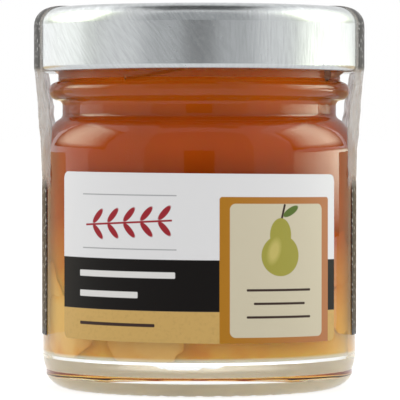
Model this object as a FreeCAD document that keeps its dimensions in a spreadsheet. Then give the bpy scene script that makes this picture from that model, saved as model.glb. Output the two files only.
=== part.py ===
import FreeCAD
import Part
import Sketcher

import math
import os
import re

# A small glass jar of fruit mustard, closed by a twist-off tinplate lid, with a paper label
# round its front and a film seal strip that runs from one side, over the lid, to the other.
# Millimetres and degrees. Z points up, the jar stands on Z = 0 on the Z axis, and its label
# faces -Y.

# ---------------------------------------------------------------------------------------------
# Driving dimensions: alias, value, what it is
# ---------------------------------------------------------------------------------------------
SIZES = [
    # glass jar, from the base up
    ("contact_width", 2.3, "width of the flat ring that the jar stands on"),
    ("punt_depth", 1.1, "how far the middle of the underside is pushed up"),
    ("heel_inset", 0.45, "how far the heel stands in from the wall"),
    ("heel_width", 2.42, "width of the rounded edge between contact ring and heel"),
    ("heel_height", 1.85, "height of that rounded edge"),
    ("heel_curve", 3.6, "radius of that rounded edge"),
    ("heel_land", 0.75, "height of the straight band of the heel"),
    ("step_rise", 1.75, "height of the curved step from the heel out to the wall"),
    ("step_curve", 6.5, "radius of the step's curve"),
    ("body_radius", 21.77, "outer radius of the straight wall"),
    ("body_wall", 2.4, "glass thickness of the straight wall"),
    ("floor_height", 4.6, "height of the inside floor above the table"),
    ("floor_corner", 1.0, "radius between inside floor and wall"),
    ("wall_height", 32.6, "height at which the wall turns into the shoulder"),
    ("shoulder_rise", 4.9, "height of the shoulder"),
    ("finish_radius", 19.6, "outer radius of the glass under the lid"),
    ("finish_wall", 2.85, "glass thickness under the lid"),
    ("neck_inset", 0.55, "how much slimmer the neck groove is than the glass under the lid"),
    ("neck_rise", 3.6, "from the shoulder's top to the middle of the bead"),
    ("neck_fillet", 0.7, "radius in the corners of the neck groove"),
    ("bead_section", 1.3, "radius of the round bead's section"),
    ("bead_fillet", 0.35, "radius in the corner above the bead"),
    ("finish_rise", 10.7, "from the middle of the bead to the mouth"),
    ("mouth_round", 0.7, "radius of the mouth's outer edge"),
    ("mouth_inner_round", 0.4, "radius of the mouth's inner edge"),
    ("knurl_count", 48, "number of shallow notches round the contact ring"),
    ("knurl_section", 1.2, "radius of the round notch"),
    ("knurl_depth", 0.15, "depth of a notch"),
    ("knurl_land", 1.1, "width of the contact ring left plain inside the notches"),
    # thread ridges on the glass
    ("thread_count", 4, "number of ridges, and of claws on the lid"),
    ("thread_reach", 1.0, "how far a ridge stands out of the glass"),
    ("thread_bite", 0.3, "how far a ridge's root lies inside the glass"),
    ("thread_half", 1.0, "half the height of a ridge at its root"),
    ("thread_lift", 0.8, "from the bead up to the middle of a ridge's low end"),
    ("thread_rise", 4.0, "how far a ridge climbs"),
    ("thread_sweep", 66, "degrees of the circle that a ridge covers"),
    ("thread_start", -29.5, "where the first low end lies, in degrees from +X"),
    # contents
    ("headspace", 3.2, "air between the fruit mustard and the mouth"),
    # lid
    ("lid_sheet", 0.3, "thickness of the lid's sheet"),
    ("lid_play", 0.75, "clearance between the thread ridges and the lid's curled edge"),
    ("curl_section", 0.75, "radius of the curled edge"),
    ("lid_corner", 2.4, "radius of the lid's outer top edge"),
    ("rim_rise", 0.4, "height of the lid's rim above its panel"),
    ("rim_flat", 0.65, "width of the rim's flat top"),
    ("rim_slope", 0.5, "width of the slope from rim to panel"),
    ("claw_grip", 0.45, "how far a claw reaches in under a ridge"),
    ("claw_width", 6.0, "width of a claw"),
    ("claw_sheet", 0.5, "thickness of a claw"),
    ("claw_play", 0.1, "clearance between a claw and its ridge"),
    ("claw_lift", 0.16, "height of the claws above the lid's lower edge"),
    ("claw_lead", 45, "degrees from a ridge's low end to the middle of its claw"),
    # label
    ("label_paper", 0.1, "thickness of the label"),
    ("label_foot", 2.95, "from the step's top to the label's lower edge, mid-label"),
    ("label_head", 2.75, "from the label's upper edge to the shoulder, mid-label"),
    ("label_side", 4.46, "gap between label and seal strip, along the wall"),
    ("label_corner", 1.0, "radius of the label's corners"),
    ("label_tilt", 0.55, "how far the label is stuck on askew, lower on the +X side"),
    # seal strip
    ("film_sheet", 0.15, "thickness of the film"),
    ("film_width", 16.0, "width of the strip"),
    ("film_foot", 3.1, "from the step's top to the strip's ends"),
    ("film_leave", 3.6, "how far below the shoulder the film leaves the wall"),
    ("film_stand", 0.26, "how far the film stands off beside the shoulder's lower edge"),
]

# Places worked out from the driving dimensions: alias, formula
DERIVED = [
    ("heel_radius", "body_radius - heel_inset"),
    ("contact_radius", "heel_radius - heel_width"),
    ("step_foot", "heel_height + heel_land"),
    ("step_top", "step_foot + step_rise"),
    ("inner_radius", "body_radius - body_wall"),
    ("neck_radius", "finish_radius - neck_inset"),
    ("bore_radius", "finish_radius - finish_wall"),
    ("shoulder_top", "wall_height + shoulder_rise"),
    ("shoulder_curve", "((body_radius - neck_radius) ^ 2 + shoulder_rise ^ 2)"
                       " / (2 * min(body_radius - neck_radius; shoulder_rise))"),
    ("inner_curve", "((inner_radius - bore_radius) ^ 2 + shoulder_rise ^ 2)"
                    " / (2 * min(inner_radius - bore_radius; shoulder_rise))"),
    ("bead_middle", "shoulder_top + neck_rise"),
    ("bead_foot", "bead_middle - sqrt(bead_section ^ 2 - neck_inset ^ 2)"),
    ("mouth_height", "bead_middle + finish_rise"),
    ("punt_curve", "((contact_radius - contact_width) ^ 2 + punt_depth ^ 2) / (2 * punt_depth)"),
    ("fill_height", "mouth_height - headspace"),
    ("thread_low", "bead_middle + bead_section + thread_lift"),
    ("thread_root", "finish_radius - thread_bite"),
    ("thread_tip", "finish_radius + thread_reach"),
    ("thread_curve", "((thread_reach + thread_bite) ^ 2 + thread_half ^ 2)"
                     " / (2 * (thread_reach + thread_bite))"),
    ("lid_radius", "thread_tip + lid_play + 2 * curl_section"),
    ("panel_top", "mouth_height + lid_sheet"),
    ("lid_top", "panel_top + rim_rise"),
    ("rim_outer", "lid_radius - lid_corner"),
    ("rim_inner", "rim_outer - rim_flat"),
    ("panel_radius", "rim_inner - rim_slope"),
    ("claw_radius", "thread_tip - claw_grip"),
    ("claw_half_angle", "asin(claw_width / 2 / claw_radius) / 1deg"),
    ("claw_top", "thread_low + thread_rise * (claw_lead - claw_half_angle) / thread_sweep"
                 " - thread_half - claw_play"),
    ("lid_foot", "claw_top - claw_sheet - claw_lift"),
    ("curl_middle", "lid_foot + curl_section"),
    ("film_angle", "asin(film_width / 2 / body_radius) / 1deg"),
    ("label_angle", "90 - film_angle - label_side / body_radius * 180 / pi"),
    ("label_climb", "2 * label_angle / 180 * pi * body_radius * tan(label_tilt)"),
    ("label_low", "step_top + label_foot - label_climb / 2"),
    ("label_high", "wall_height - label_head - label_climb / 2"),
]

doc = FreeCAD.newDocument("fruit_mustard_jar")


# ---------------------------------------------------------------------------------------------
# Spreadsheet and expressions
# ---------------------------------------------------------------------------------------------
def make_sheet():
    """Write the driving dimensions and the places worked out from them into one sheet."""
    made = doc.addObject("Spreadsheet::Sheet", "Sizes")
    row = 0
    for alias, number, meaning in SIZES:
        row += 1
        made.set(f"A{row}", alias)
        made.set(f"B{row}", str(number))
        made.set(f"C{row}", meaning)
        made.setAlias(f"B{row}", alias)
    for alias, formula in DERIVED:
        row += 1
        made.set(f"A{row}", alias)
        made.set(f"B{row}", "=" + formula)
        made.setAlias(f"B{row}", alias)
    doc.recompute()
    return made


sheet = make_sheet()
ALIASES = [entry[0] for entry in SIZES + DERIVED]


def bound(formula):
    """Return the formula with each alias written as a reference to the sheet."""
    return re.sub(r"[a-z_]+", lambda word: "Sizes." + word[0] if word[0] in ALIASES else word[0], formula)


def number(formula):
    """Work the formula out from the sheet's present values."""
    return float(sheet.evalExpression(bound(formula)))


def bind(feature, **formulas):
    """Bind each named property of the feature to its formula."""
    for name, formula in formulas.items():
        feature.setExpression(name.replace("__", "."), bound(formula))


# ---------------------------------------------------------------------------------------------
# Bodies and sketches
# ---------------------------------------------------------------------------------------------
def make_body(label):
    """Start a sub-part."""
    body = doc.addObject("PartDesign::Body", label)
    body.Label = label
    body.Placement = FreeCAD.Placement()
    return body


def origin(body, role):
    """Return the body's own plane or axis that has the given role."""
    return next(item for item in body.Origin.OriginFeatures if item.Role == role)


def make_sketch(body, name, plane):
    """Put an empty sketch on one of the body's own planes."""
    sketch = body.newObject("Sketcher::SketchObject", name)
    sketch.AttachmentSupport = [(origin(body, plane), "")]
    sketch.MapMode = "FlatFace"
    return sketch


def arc_between(start, end, radius, side):
    """Short arc from start to end; side 1 has its centre to the left of the way, -1 to the right."""
    chord = end - start
    middle = (start + end) * 0.5
    across = FreeCAD.Vector(-chord.y, chord.x, 0).normalize()
    height = math.sqrt(max(radius ** 2 - (chord.Length / 2) ** 2, 0))
    centre = middle + across * (side * height)
    crown = centre - across * (side * radius)
    return Part.Arc(start, crown, end)


def draw_outline(sketch, corners):
    """Draw a closed outline through the corners and bind it to the sheet.

    A corner is (x, y) as formulas, with a third item (radius formula, side) where the way to the
    next corner is an arc.
    """
    points = [FreeCAD.Vector(number(corner[0]), number(corner[1]), 0) for corner in corners]
    edges = []
    for index, corner in enumerate(corners):
        start = points[index]
        end = points[(index + 1) % len(points)]
        if len(corner) == 3:
            radius, side = corner[2]
            edges.append(sketch.addGeometry(arc_between(start, end, number(radius), side), False))
        else:
            edges.append(sketch.addGeometry(Part.LineSegment(start, end), False))
    for index, corner in enumerate(corners):
        edge = edges[index]
        # a part arc drawn clockwise is stored the other way round, so its ends are swapped
        clockwise = len(corner) == 3 and corner[2][1] < 0
        before = corners[index - 1]
        clockwise_before = len(before) == 3 and before[2][1] < 0
        start_point = 2 if clockwise else 1
        end_point = 1 if clockwise_before else 2
        sketch.addConstraint(
            Sketcher.Constraint("Coincident", edges[index - 1], end_point, edge, start_point))
        place_point(sketch, edge, start_point, corner)
        if len(corner) == 3:
            bind_constraint(sketch, Sketcher.Constraint("Radius", edge, number(corner[2][0])), corner[2][0])


def place_point(sketch, edge, point, corner):
    """Hold one end of an edge at the corner's two coordinates."""
    for kind, axis, formula in (("DistanceX", -2, corner[0]), ("DistanceY", -1, corner[1])):
        if formula == "0":
            sketch.addConstraint(Sketcher.Constraint("PointOnObject", edge, point, axis))
        else:
            limit = Sketcher.Constraint(kind, -1, 1, edge, point, number(formula))
            bind_constraint(sketch, limit, formula)


def bind_constraint(sketch, limit, formula):
    """Add a dimension to the sketch and bind it to its formula."""
    index = sketch.addConstraint(limit)
    sketch.setExpression(f"Constraints[{index}]", bound(formula))


def revolve(body, name, corners):
    """Turn an outline, given as radius and height, once round the Z axis."""
    sketch = make_sketch(body, name + "_section", "XZ_Plane")
    draw_outline(sketch, corners)
    turned = body.newObject("PartDesign::Revolution", name)
    turned.Profile = sketch
    turned.ReferenceAxis = (sketch, ["V_Axis"])
    turned.Angle = 360
    doc.recompute()
    return turned


def pattern_round(body, name, feature, count):
    """Repeat a feature evenly round the Z axis."""
    pattern = body.newObject("PartDesign::PolarPattern", name)
    pattern.Originals = [feature]
    pattern.Axis = (origin(body, "Z_Axis"), [""])
    pattern.Angle = 360
    bind(pattern, Occurrences=count)
    body.Tip = pattern
    doc.recompute()
    return pattern


def ring_edges(feature, radius, height):
    """Name the circular edges that lie at the given radius and height."""
    names = []
    for index, edge in enumerate(feature.Shape.Edges, 1):
        if edge.Degenerated or edge.Curve.TypeId != "Part::GeomCircle":
            continue
        centre = edge.Curve.Center
        off_axis = math.hypot(centre.x, centre.y)
        if off_axis < 1e-4 and abs(edge.Curve.Radius - number(radius)) < 1e-4:
            if abs(centre.z - number(height)) < 1e-4:
                names.append(f"Edge{index}")
    if not names:
        raise RuntimeError(f"no ring at radius {radius}, height {height}")
    return names


def fillet_rings(body, name, base, rings, radius):
    """Round the ring edges that lie at the given (radius, height) pairs."""
    edges = [edge for ring in rings for edge in ring_edges(base, *ring)]
    fillet = body.newObject("PartDesign::Fillet", name)
    fillet.Base = (base, edges)
    bind(fillet, Radius=radius)
    doc.recompute()
    return fillet


# ---------------------------------------------------------------------------------------------
# Glass jar
# ---------------------------------------------------------------------------------------------
def make_glass_jar():
    """One piece of glass: notched contact ring, stepped heel, wall, shoulder, beaded neck, ridges."""
    body = make_body("glass_jar")
    shell = revolve(body, "jar_shell", [
        ("0", "punt_depth", ("punt_curve", -1)),
        ("contact_radius - contact_width", "0"),
        ("contact_radius", "0", ("heel_curve", 1)),
        ("heel_radius", "heel_height"),
        ("heel_radius", "step_foot", ("step_curve", 1)),
        ("body_radius", "step_top"),
        ("body_radius", "wall_height", ("shoulder_curve", 1)),
        ("neck_radius", "shoulder_top"),
        ("neck_radius", "bead_foot", ("bead_section", 1)),
        ("finish_radius + bead_section", "bead_middle", ("bead_section", 1)),
        ("finish_radius", "bead_middle + bead_section"),
        ("finish_radius", "mouth_height"),
        ("bore_radius", "mouth_height"),
        ("bore_radius", "shoulder_top", ("inner_curve", -1)),
        ("inner_radius", "wall_height"),
        ("inner_radius", "floor_height"),
        ("0", "floor_height"),
    ])
    neck = fillet_rings(body, "neck_groove_fillets", shell, [
        ("neck_radius", "shoulder_top"),
        ("neck_radius", "bead_foot"),
    ], "neck_fillet")
    bead = fillet_rings(body, "bead_top_fillet", neck, [
        ("finish_radius", "bead_middle + bead_section"),
    ], "bead_fillet")
    floor = fillet_rings(body, "floor_fillet", bead, [("inner_radius", "floor_height")], "floor_corner")
    lip = fillet_rings(body, "mouth_outer_fillet", floor, [("finish_radius", "mouth_height")], "mouth_round")
    fillet_rings(body, "mouth_inner_fillet", lip, [("bore_radius", "mouth_height")], "mouth_inner_round")
    cut_knurling(body)
    add_threads(body)
    return body


def cut_knurling(body):
    """Cut the shallow radial notches into the outer part of the contact ring."""
    notch = body.newObject("PartDesign::SubtractiveCylinder", "knurl_notch")
    notch.AttachmentSupport = [(origin(body, "YZ_Plane"), "")]
    notch.MapMode = "FlatFace"
    bind(notch,
         Radius="knurl_section",
         Height="body_radius - contact_radius + contact_width - knurl_land",
         AttachmentOffset__Base__y="knurl_depth - knurl_section",
         AttachmentOffset__Base__z="contact_radius - contact_width + knurl_land")
    doc.recompute()
    pattern_round(body, "knurling", notch, "knurl_count")


def add_threads(body):
    """Add the ridges that the lid's claws run under, each climbing to the right seen from outside."""
    sketch = make_sketch(body, "thread_section", "XZ_Plane")
    draw_outline(sketch, [
        ("thread_root", "thread_low - thread_half", ("thread_curve", 1)),
        ("thread_tip", "thread_low", ("thread_curve", 1)),
        ("thread_root", "thread_low + thread_half"),
    ])
    sketch.AttachmentOffset = FreeCAD.Placement(
        FreeCAD.Vector(), FreeCAD.Rotation(FreeCAD.Vector(0, 1, 0), number("thread_start")))
    bind(sketch, AttachmentOffset__Rotation__Angle="thread_start")
    doc.recompute()
    ridge = body.newObject("PartDesign::AdditiveHelix", "thread_ridge")
    ridge.Profile = sketch
    ridge.ReferenceAxis = (sketch, ["V_Axis"])
    ridge.Mode = "pitch-turns-angle"
    bind(ridge, Pitch="thread_rise * 360 / thread_sweep", Turns="thread_sweep / 360")
    doc.recompute()
    pattern_round(body, "threads", ridge, "thread_count")


# ---------------------------------------------------------------------------------------------
# Contents
# ---------------------------------------------------------------------------------------------
def make_fruit_mustard():
    """The fruit mustard fills the jar up to a little below the mouth."""
    body = make_body("fruit_mustard")
    filling = revolve(body, "filling", [
        ("0", "floor_height"),
        ("inner_radius", "floor_height"),
        ("inner_radius", "wall_height", ("inner_curve", 1)),
        ("bore_radius", "shoulder_top"),
        ("bore_radius", "fill_height"),
        ("0", "fill_height"),
    ])
    fillet_rings(body, "filling_foot", filling, [("inner_radius", "floor_height")], "floor_corner")
    return body


# ---------------------------------------------------------------------------------------------
# Lid
# ---------------------------------------------------------------------------------------------
def make_lid():
    """Drawn tinplate: sunk panel, raised rim, straight skirt, curled edge and four claws."""
    body = make_body("lid")
    revolve(body, "lid_shell", [
        ("0", "panel_top"),
        ("0", "panel_top - lid_sheet"),
        ("panel_radius", "panel_top - lid_sheet"),
        ("rim_inner", "lid_top - lid_sheet"),
        ("rim_outer", "lid_top - lid_sheet", ("lid_corner - lid_sheet", -1)),
        ("lid_radius - lid_sheet", "lid_top - lid_corner"),
        ("lid_radius - lid_sheet", "curl_middle + sqrt(curl_section ^ 2 - (curl_section - lid_sheet) ^ 2)",
         ("curl_section", 1)),
        ("lid_radius - curl_section", "curl_middle + curl_section", ("curl_section", 1)),
        ("lid_radius - 2 * curl_section", "curl_middle", ("curl_section", 1)),
        ("lid_radius - curl_section", "lid_foot", ("curl_section", 1)),
        ("lid_radius", "curl_middle"),
        ("lid_radius", "lid_top - lid_corner", ("lid_corner", 1)),
        ("rim_outer", "lid_top"),
        ("rim_inner", "lid_top"),
        ("panel_radius", "panel_top"),
    ])
    add_claws(body)
    return body


def add_claws(body):
    """Add the flat claws that reach from the curled edge in under the thread ridges."""
    sketch = make_sketch(body, "claw_outline", "XY_Plane")
    draw_outline(sketch, [
        ("claw_radius", "-claw_width / 2"),
        ("lid_radius - curl_section", "-claw_width / 2"),
        ("lid_radius - curl_section", "claw_width / 2"),
        ("claw_radius", "claw_width / 2"),
    ])
    sketch.AttachmentOffset = FreeCAD.Placement(
        FreeCAD.Vector(0, 0, number("claw_top - claw_sheet")),
        FreeCAD.Rotation(FreeCAD.Vector(0, 0, 1), number("thread_start + claw_lead")))
    bind(sketch,
         AttachmentOffset__Base__z="claw_top - claw_sheet",
         AttachmentOffset__Rotation__Angle="thread_start + claw_lead")
    doc.recompute()
    claw = body.newObject("PartDesign::Pad", "claw")
    claw.Profile = sketch
    bind(claw, Length="claw_sheet")
    doc.recompute()
    pattern_round(body, "claws", claw, "thread_count")


# ---------------------------------------------------------------------------------------------
# Label
# ---------------------------------------------------------------------------------------------
def make_front_label():
    """Paper stuck round the front of the wall, a little askew, between the strip's two legs."""
    body = make_body("front_label")
    sketch = make_sketch(body, "paper_section", "XZ_Plane")
    draw_outline(sketch, [
        ("body_radius", "label_low"),
        ("body_radius + label_paper", "label_low"),
        ("body_radius + label_paper", "label_high"),
        ("body_radius", "label_high"),
    ])
    doc.recompute()
    paper = body.newObject("PartDesign::AdditiveHelix", "paper")
    paper.Profile = sketch
    paper.ReferenceAxis = (sketch, ["V_Axis"])
    paper.Mode = "pitch-turns-angle"
    paper.LeftHanded = True
    bind(paper, Pitch="2 * pi * body_radius * tan(label_tilt)", Turns="label_angle / 180")
    doc.recompute()
    thickness = number("label_paper")
    corners = [f"Edge{index}" for index, edge in enumerate(paper.Shape.Edges, 1)
               if abs(edge.Length - thickness) < thickness / 10]
    rounded = body.newObject("PartDesign::Fillet", "paper_corners")
    rounded.Base = (paper, corners)
    bind(rounded, Radius="label_corner")
    body.Placement = FreeCAD.Placement(
        FreeCAD.Vector(), FreeCAD.Rotation(FreeCAD.Vector(0, 0, 1), number("label_angle - 90")))
    bind(body, Placement__Rotation__Angle="label_angle - 90")
    doc.recompute()
    return body


# ---------------------------------------------------------------------------------------------
# Seal strip
# ---------------------------------------------------------------------------------------------
def make_seal_strip():
    """Film that clings to the wall, spans the neck straight to the lid and crosses over its top."""
    body = make_body("seal_strip")
    revolve(body, "film_bell", [
        ("body_radius", "step_top + film_foot"),
        ("body_radius + film_sheet", "step_top + film_foot"),
        ("body_radius + film_sheet", "wall_height - film_leave"),
        ("body_radius + film_sheet + film_stand", "wall_height"),
        ("lid_radius + film_sheet", "curl_middle"),
        ("lid_radius + film_sheet", "lid_top - lid_corner", ("lid_corner + film_sheet", 1)),
        ("rim_outer", "lid_top + film_sheet"),
        ("0", "lid_top + film_sheet"),
        ("0", "lid_top"),
        ("rim_outer", "lid_top", ("lid_corner", -1)),
        ("lid_radius", "lid_top - lid_corner"),
        ("lid_radius", "curl_middle"),
        ("body_radius + film_stand", "wall_height"),
        ("body_radius", "wall_height - film_leave"),
    ])
    sketch = make_sketch(body, "trim_outline", "XY_Plane")
    reach = "(body_radius + lid_radius)"
    for side in ("", "-"):
        add_rectangle(sketch, f"-{reach}", f"{side}film_width / 2", reach, f"{side}{reach}")
    trim = body.newObject("PartDesign::Pocket", "trim_to_width")
    trim.Profile = sketch
    trim.Type = "ThroughAll"
    trim.Midplane = True
    doc.recompute()
    return body


def add_rectangle(sketch, left, near, right, far):
    """Add a rectangle between two opposite corners to a sketch that may hold other outlines."""
    corners = [(left, near), (right, near), (right, far), (left, far)]
    points = [FreeCAD.Vector(number(x), number(y), 0) for x, y in corners]
    sides = [sketch.addGeometry(Part.LineSegment(points[index], points[(index + 1) % 4]), False)
             for index in range(4)]
    for index in range(4):
        sketch.addConstraint(Sketcher.Constraint("Coincident", sides[index - 1], 2, sides[index], 1))
        place_point(sketch, sides[index], 1, corners[index])


# ---------------------------------------------------------------------------------------------
# Build, test and write
# ---------------------------------------------------------------------------------------------
def test_document(pieces):
    """Stop if anything failed to compute or a sub-part has no sound single solid."""
    for item in doc.Objects:
        if "Invalid" in item.State or "Error" in item.State:
            raise RuntimeError(f"{item.Label} is not sound: {item.State}")
    for piece in pieces:
        if piece.Shape.isNull() or not piece.Shape.isValid():
            raise RuntimeError(f"{piece.Label} has no valid shape")
        if len(piece.Shape.Solids) != 1:
            raise RuntimeError(f"{piece.Label} has {len(piece.Shape.Solids)} solids")


def main():
    pieces = [make_glass_jar(), make_lid(), make_fruit_mustard(), make_front_label(), make_seal_strip()]
    doc.recompute()
    test_document(pieces)
    os.makedirs("parts", exist_ok=True)
    for piece in pieces:
        piece.Shape.exportStep(f"parts/{piece.Label}.step")
        box = piece.Shape.optimalBoundingBox()
        print(f"{piece.Label}: {piece.Shape.Volume:.1f} mm3, X {box.XMin:.2f} to {box.XMax:.2f},"
              f" Y {box.YMin:.2f} to {box.YMax:.2f}, Z {box.ZMin:.2f} to {box.ZMax:.2f}")


main()
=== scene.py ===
"""Looks of the fruit mustard jar: glass, syrup with pear, tinplate lid, printed label and seal film."""

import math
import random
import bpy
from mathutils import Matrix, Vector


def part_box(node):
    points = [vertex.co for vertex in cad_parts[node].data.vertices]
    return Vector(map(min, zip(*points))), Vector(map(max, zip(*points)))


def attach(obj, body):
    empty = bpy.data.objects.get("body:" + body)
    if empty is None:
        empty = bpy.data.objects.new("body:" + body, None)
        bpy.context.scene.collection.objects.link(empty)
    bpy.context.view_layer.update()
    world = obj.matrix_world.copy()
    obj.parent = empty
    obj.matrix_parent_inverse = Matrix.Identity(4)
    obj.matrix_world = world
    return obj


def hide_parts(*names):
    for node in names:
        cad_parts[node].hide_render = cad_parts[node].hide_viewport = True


bl_info = {
    "name": "Fruit Mustard Jar",
    "version": (1, 0, 0),
    "blender": (4, 5, 0),
    "location": "3D View > Sidebar > Fruit Jar",
    "description": "Finishes a small closed jar of pear fruit mustard around its packed frame",
    "category": "Object",
}

import bmesh
import bpy
from bpy.props import FloatProperty, FloatVectorProperty, IntProperty, PointerProperty
from mathutils import Euler, Vector, noise

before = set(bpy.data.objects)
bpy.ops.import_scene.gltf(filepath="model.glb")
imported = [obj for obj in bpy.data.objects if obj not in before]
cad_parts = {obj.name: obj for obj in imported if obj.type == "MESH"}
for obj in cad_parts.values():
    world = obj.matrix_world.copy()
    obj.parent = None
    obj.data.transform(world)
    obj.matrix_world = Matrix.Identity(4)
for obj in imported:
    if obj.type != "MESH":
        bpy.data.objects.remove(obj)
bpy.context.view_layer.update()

MM = 0.001

# Where things are, read from the frame, in millimetres
FILL_LOW, FILL_HIGH = (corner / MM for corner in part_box("fruit_mustard"))
LID_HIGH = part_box("lid")[1] / MM
GLASS_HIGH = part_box("glass_jar")[1] / MM
LABEL_LOW, LABEL_HIGH = (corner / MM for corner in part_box("front_label"))
FILM_LOW, FILM_HIGH = (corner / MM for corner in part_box("seal_strip"))

# Heights and radii of the jar's own outline that the pieces below follow, in millimetres
WALL_TOP = 32.6
SHOULDER_TOP = 37.5
BORE_RADIUS = 16.75
FLOOR_CORNER = 1.0
CURL_MIDDLE = 44.4
LID_CORNER = 2.4
LABEL_RADIUS = -LABEL_LOW.y

# Heights in millimetres over which one tone of the syrup gives way to the next
GOLDEN_TO_MIDDLE = (11.5, 16.5)
MIDDLE_TO_DEEP = (15.5, 23.5)
DEEP_TO_NECK = (36.5, 41.5)
SETTLED_TO_CLEAR = (9.0, 6.0)
WALL_TO_FOOT = (5.2, 4.8)


# ---------------------------------------------------------------------------------------------
# Settings
# ---------------------------------------------------------------------------------------------
def colour(name, description, default):
    """A colour setting with three channels."""
    return FloatVectorProperty(
        name=name, description=description, default=default, size=3, subtype="COLOR", min=0, max=1)


def share(name, description, default):
    """A setting between none and all."""
    return FloatProperty(
        name=name, description=description, default=default, min=0, max=1, subtype="FACTOR")


def length(name, description, default):
    """A length setting in metres."""
    return FloatProperty(
        name=name, description=description, default=default, min=0, unit="LENGTH", precision=5)


class GlassSettings(bpy.types.PropertyGroup):
    """Clear pressed glass."""

    tint: colour("Tint", "Colour of the glass", (0.975, 0.985, 0.98))
    ripple: length("Ripple", "Depth of the waves the mould leaves in the glass", 0.00002)


class FillingSettings(bpy.types.PropertyGroup):
    """Thick amber syrup and the fruit sunk in it."""

    wall_reach: length("Reach into Glass", "How far the syrup reaches into the wall", 0.00003)
    deep: colour("Deep Syrup", "Syrup above the fruit", (0.455, 0.078, 0.005))
    # Painted light: the syrup in the neck, in the lid's shade, is painted lighter than the deep syrup
    # below it.
    neck: colour("Neck Syrup", "Thin syrup in the neck", (0.60, 0.125, 0.006))
    middle: colour("Middle Syrup", "Syrup where the fruit begins", (0.72, 0.27, 0.040))
    golden: colour("Golden Syrup", "Syrup among the fruit", (0.82, 0.44, 0.085))
    # Partly painted light: the foot is the pale syrup on the jar's floor, painted paler still in place of
    # the light the floor throws up through the base.
    foot: colour("Foot", "Syrup on the floor of the jar", (0.95, 0.84, 0.62))
    pear: colour("Pear", "Candied pear flesh", (0.87, 0.60, 0.21))
    bleed: length("Bleed", "How far light spreads inside the syrup", 0.0055)
    pear_count: IntProperty(
        name="Pieces", description="How many pieces of pear", default=17, min=1, max=60)
    pear_size: length("Piece Size", "Half the length of a piece of pear", 0.0062)
    pear_top: length("Fruit Level", "How high the pieces of pear lie", 0.0215)


class LidSettings(bpy.types.PropertyGroup):
    """Brushed tinplate."""

    metal: colour("Metal", "Colour of the tinplate", (0.56, 0.58, 0.59))
    roughness: share("Roughness", "How much the brushing blurs reflections", 0.26)
    scratch: length("Scratch Depth", "Depth of the fine scratches", 0.0000009)


class LabelSettings(bpy.types.PropertyGroup):
    """Printed paper label."""

    white: colour("White", "Upper field", (0.77, 0.77, 0.775))
    black: colour("Black", "Band across the middle", (0.005, 0.0035, 0.003))
    gold: colour("Gold", "Lower field", (0.60, 0.385, 0.125))
    ochre: colour("Ochre", "Side panel at its left", (0.43, 0.185, 0.012))
    sienna: colour("Sienna", "Side panel at its right", (0.45, 0.18, 0.07))
    cream: colour("Cream", "Card on the side panel", (0.63, 0.57, 0.42))
    red: colour("Red", "Sprig on the upper field", (0.33, 0.02, 0.03))
    ink: colour("Ink", "Fine rules", (0.045, 0.025, 0.02))
    grain: share("Grain", "Unevenness of the gold field", 0.22)


class FilmSettings(bpy.types.PropertyGroup):
    """Seal film, printed where it lies on the wall and the lid."""

    print_dark: colour("Print", "Ground of the print", (0.014, 0.011, 0.010))
    marks: colour("Marks", "Small marks in the print", (0.50, 0.49, 0.48))
    clear: colour("Clear Film", "Film over the neck", (0.62, 0.60, 0.57))
    crinkle: length("Crinkle", "Depth of the folds over the neck", 0.0004)


class StageSettings(bpy.types.PropertyGroup):
    """Floor, lamps and camera."""

    floor: colour("Floor", "Colour of the floor", (0.82, 0.82, 0.82))
    daylight: FloatProperty(
        name="Daylight", description="Strength of the light from all round", default=0.88, min=0)
    softbox: FloatProperty(
        name="Softboxes", description="Strength of the two side lamps", default=0.68, min=0)


SETTINGS = {
    "jar_glass": GlassSettings,
    "jar_filling": FillingSettings,
    "jar_lid": LidSettings,
    "jar_label": LabelSettings,
    "jar_film": FilmSettings,
    "jar_stage": StageSettings,
}


# ---------------------------------------------------------------------------------------------
# Node helpers
# ---------------------------------------------------------------------------------------------
class Graph:
    """One node tree. Wherever an input is asked for, a number or an output socket will do."""

    def __init__(self, tree):
        self.tree = tree

    def feed(self, socket, value):
        if isinstance(value, bpy.types.NodeSocket):
            self.tree.links.new(value, socket)
        elif socket.type == "RGBA" and len(value) == 3:
            socket.default_value = (*value, 1)
        else:
            socket.default_value = value

    def node(self, kind, inputs=None, **settings):
        made = self.tree.nodes.new(kind)
        for name, value in settings.items():
            setattr(made, name, value)
        for name, value in (inputs or {}).items():
            self.feed(made.inputs[name], value)
        return made

    def math(self, operation, a, b=0.0, c=0.0, clamp=False):
        made = self.node("ShaderNodeMath", operation=operation, use_clamp=clamp)
        for index, value in enumerate((a, b, c)):
            self.feed(made.inputs[index], value)
        return made.outputs[0]

    def in_mm(self, place, axis):
        """One coordinate of a place, in millimetres."""
        parts = self.node("ShaderNodeSeparateXYZ", {"Vector": place}).outputs
        return self.math("DIVIDE", parts[axis], MM)

    def combine(self, x, y, z=0.0):
        return self.node("ShaderNodeCombineXYZ", {"X": x, "Y": y, "Z": z}).outputs[0]

    def group(self, tree, **inputs):
        made = self.node("ShaderNodeGroup", node_tree=tree)
        for name, value in inputs.items():
            self.feed(made.inputs[name.replace("_", " ").title()], value)
        return made.outputs

    def noise(self, vector, scale, detail=2.0, roughness=0.5):
        return self.node("ShaderNodeTexNoise", {
            "Vector": vector, "Scale": scale, "Detail": detail, "Roughness": roughness,
        }).outputs["Fac"]

    def span(self, value, low, high, to_low=0.0, to_high=1.0):
        made = self.node("ShaderNodeMapRange", {
            "Value": value, "From Min": low, "From Max": high, "To Min": to_low, "To Max": to_high,
        })
        return made.outputs["Result"]

    def paint(self, below, mask, above):
        """Lay one colour over another where the mask says."""
        made = self.node("ShaderNodeMix", data_type="RGBA")
        self.feed(made.inputs[0], mask)
        self.feed(made.inputs[6], below)
        self.feed(made.inputs[7], above)
        return made.outputs[2]

    def bump(self, height, distance, strength=1.0):
        return self.node("ShaderNodeBump", {
            "Height": height, "Distance": distance, "Strength": strength,
        }).outputs[0]


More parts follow.
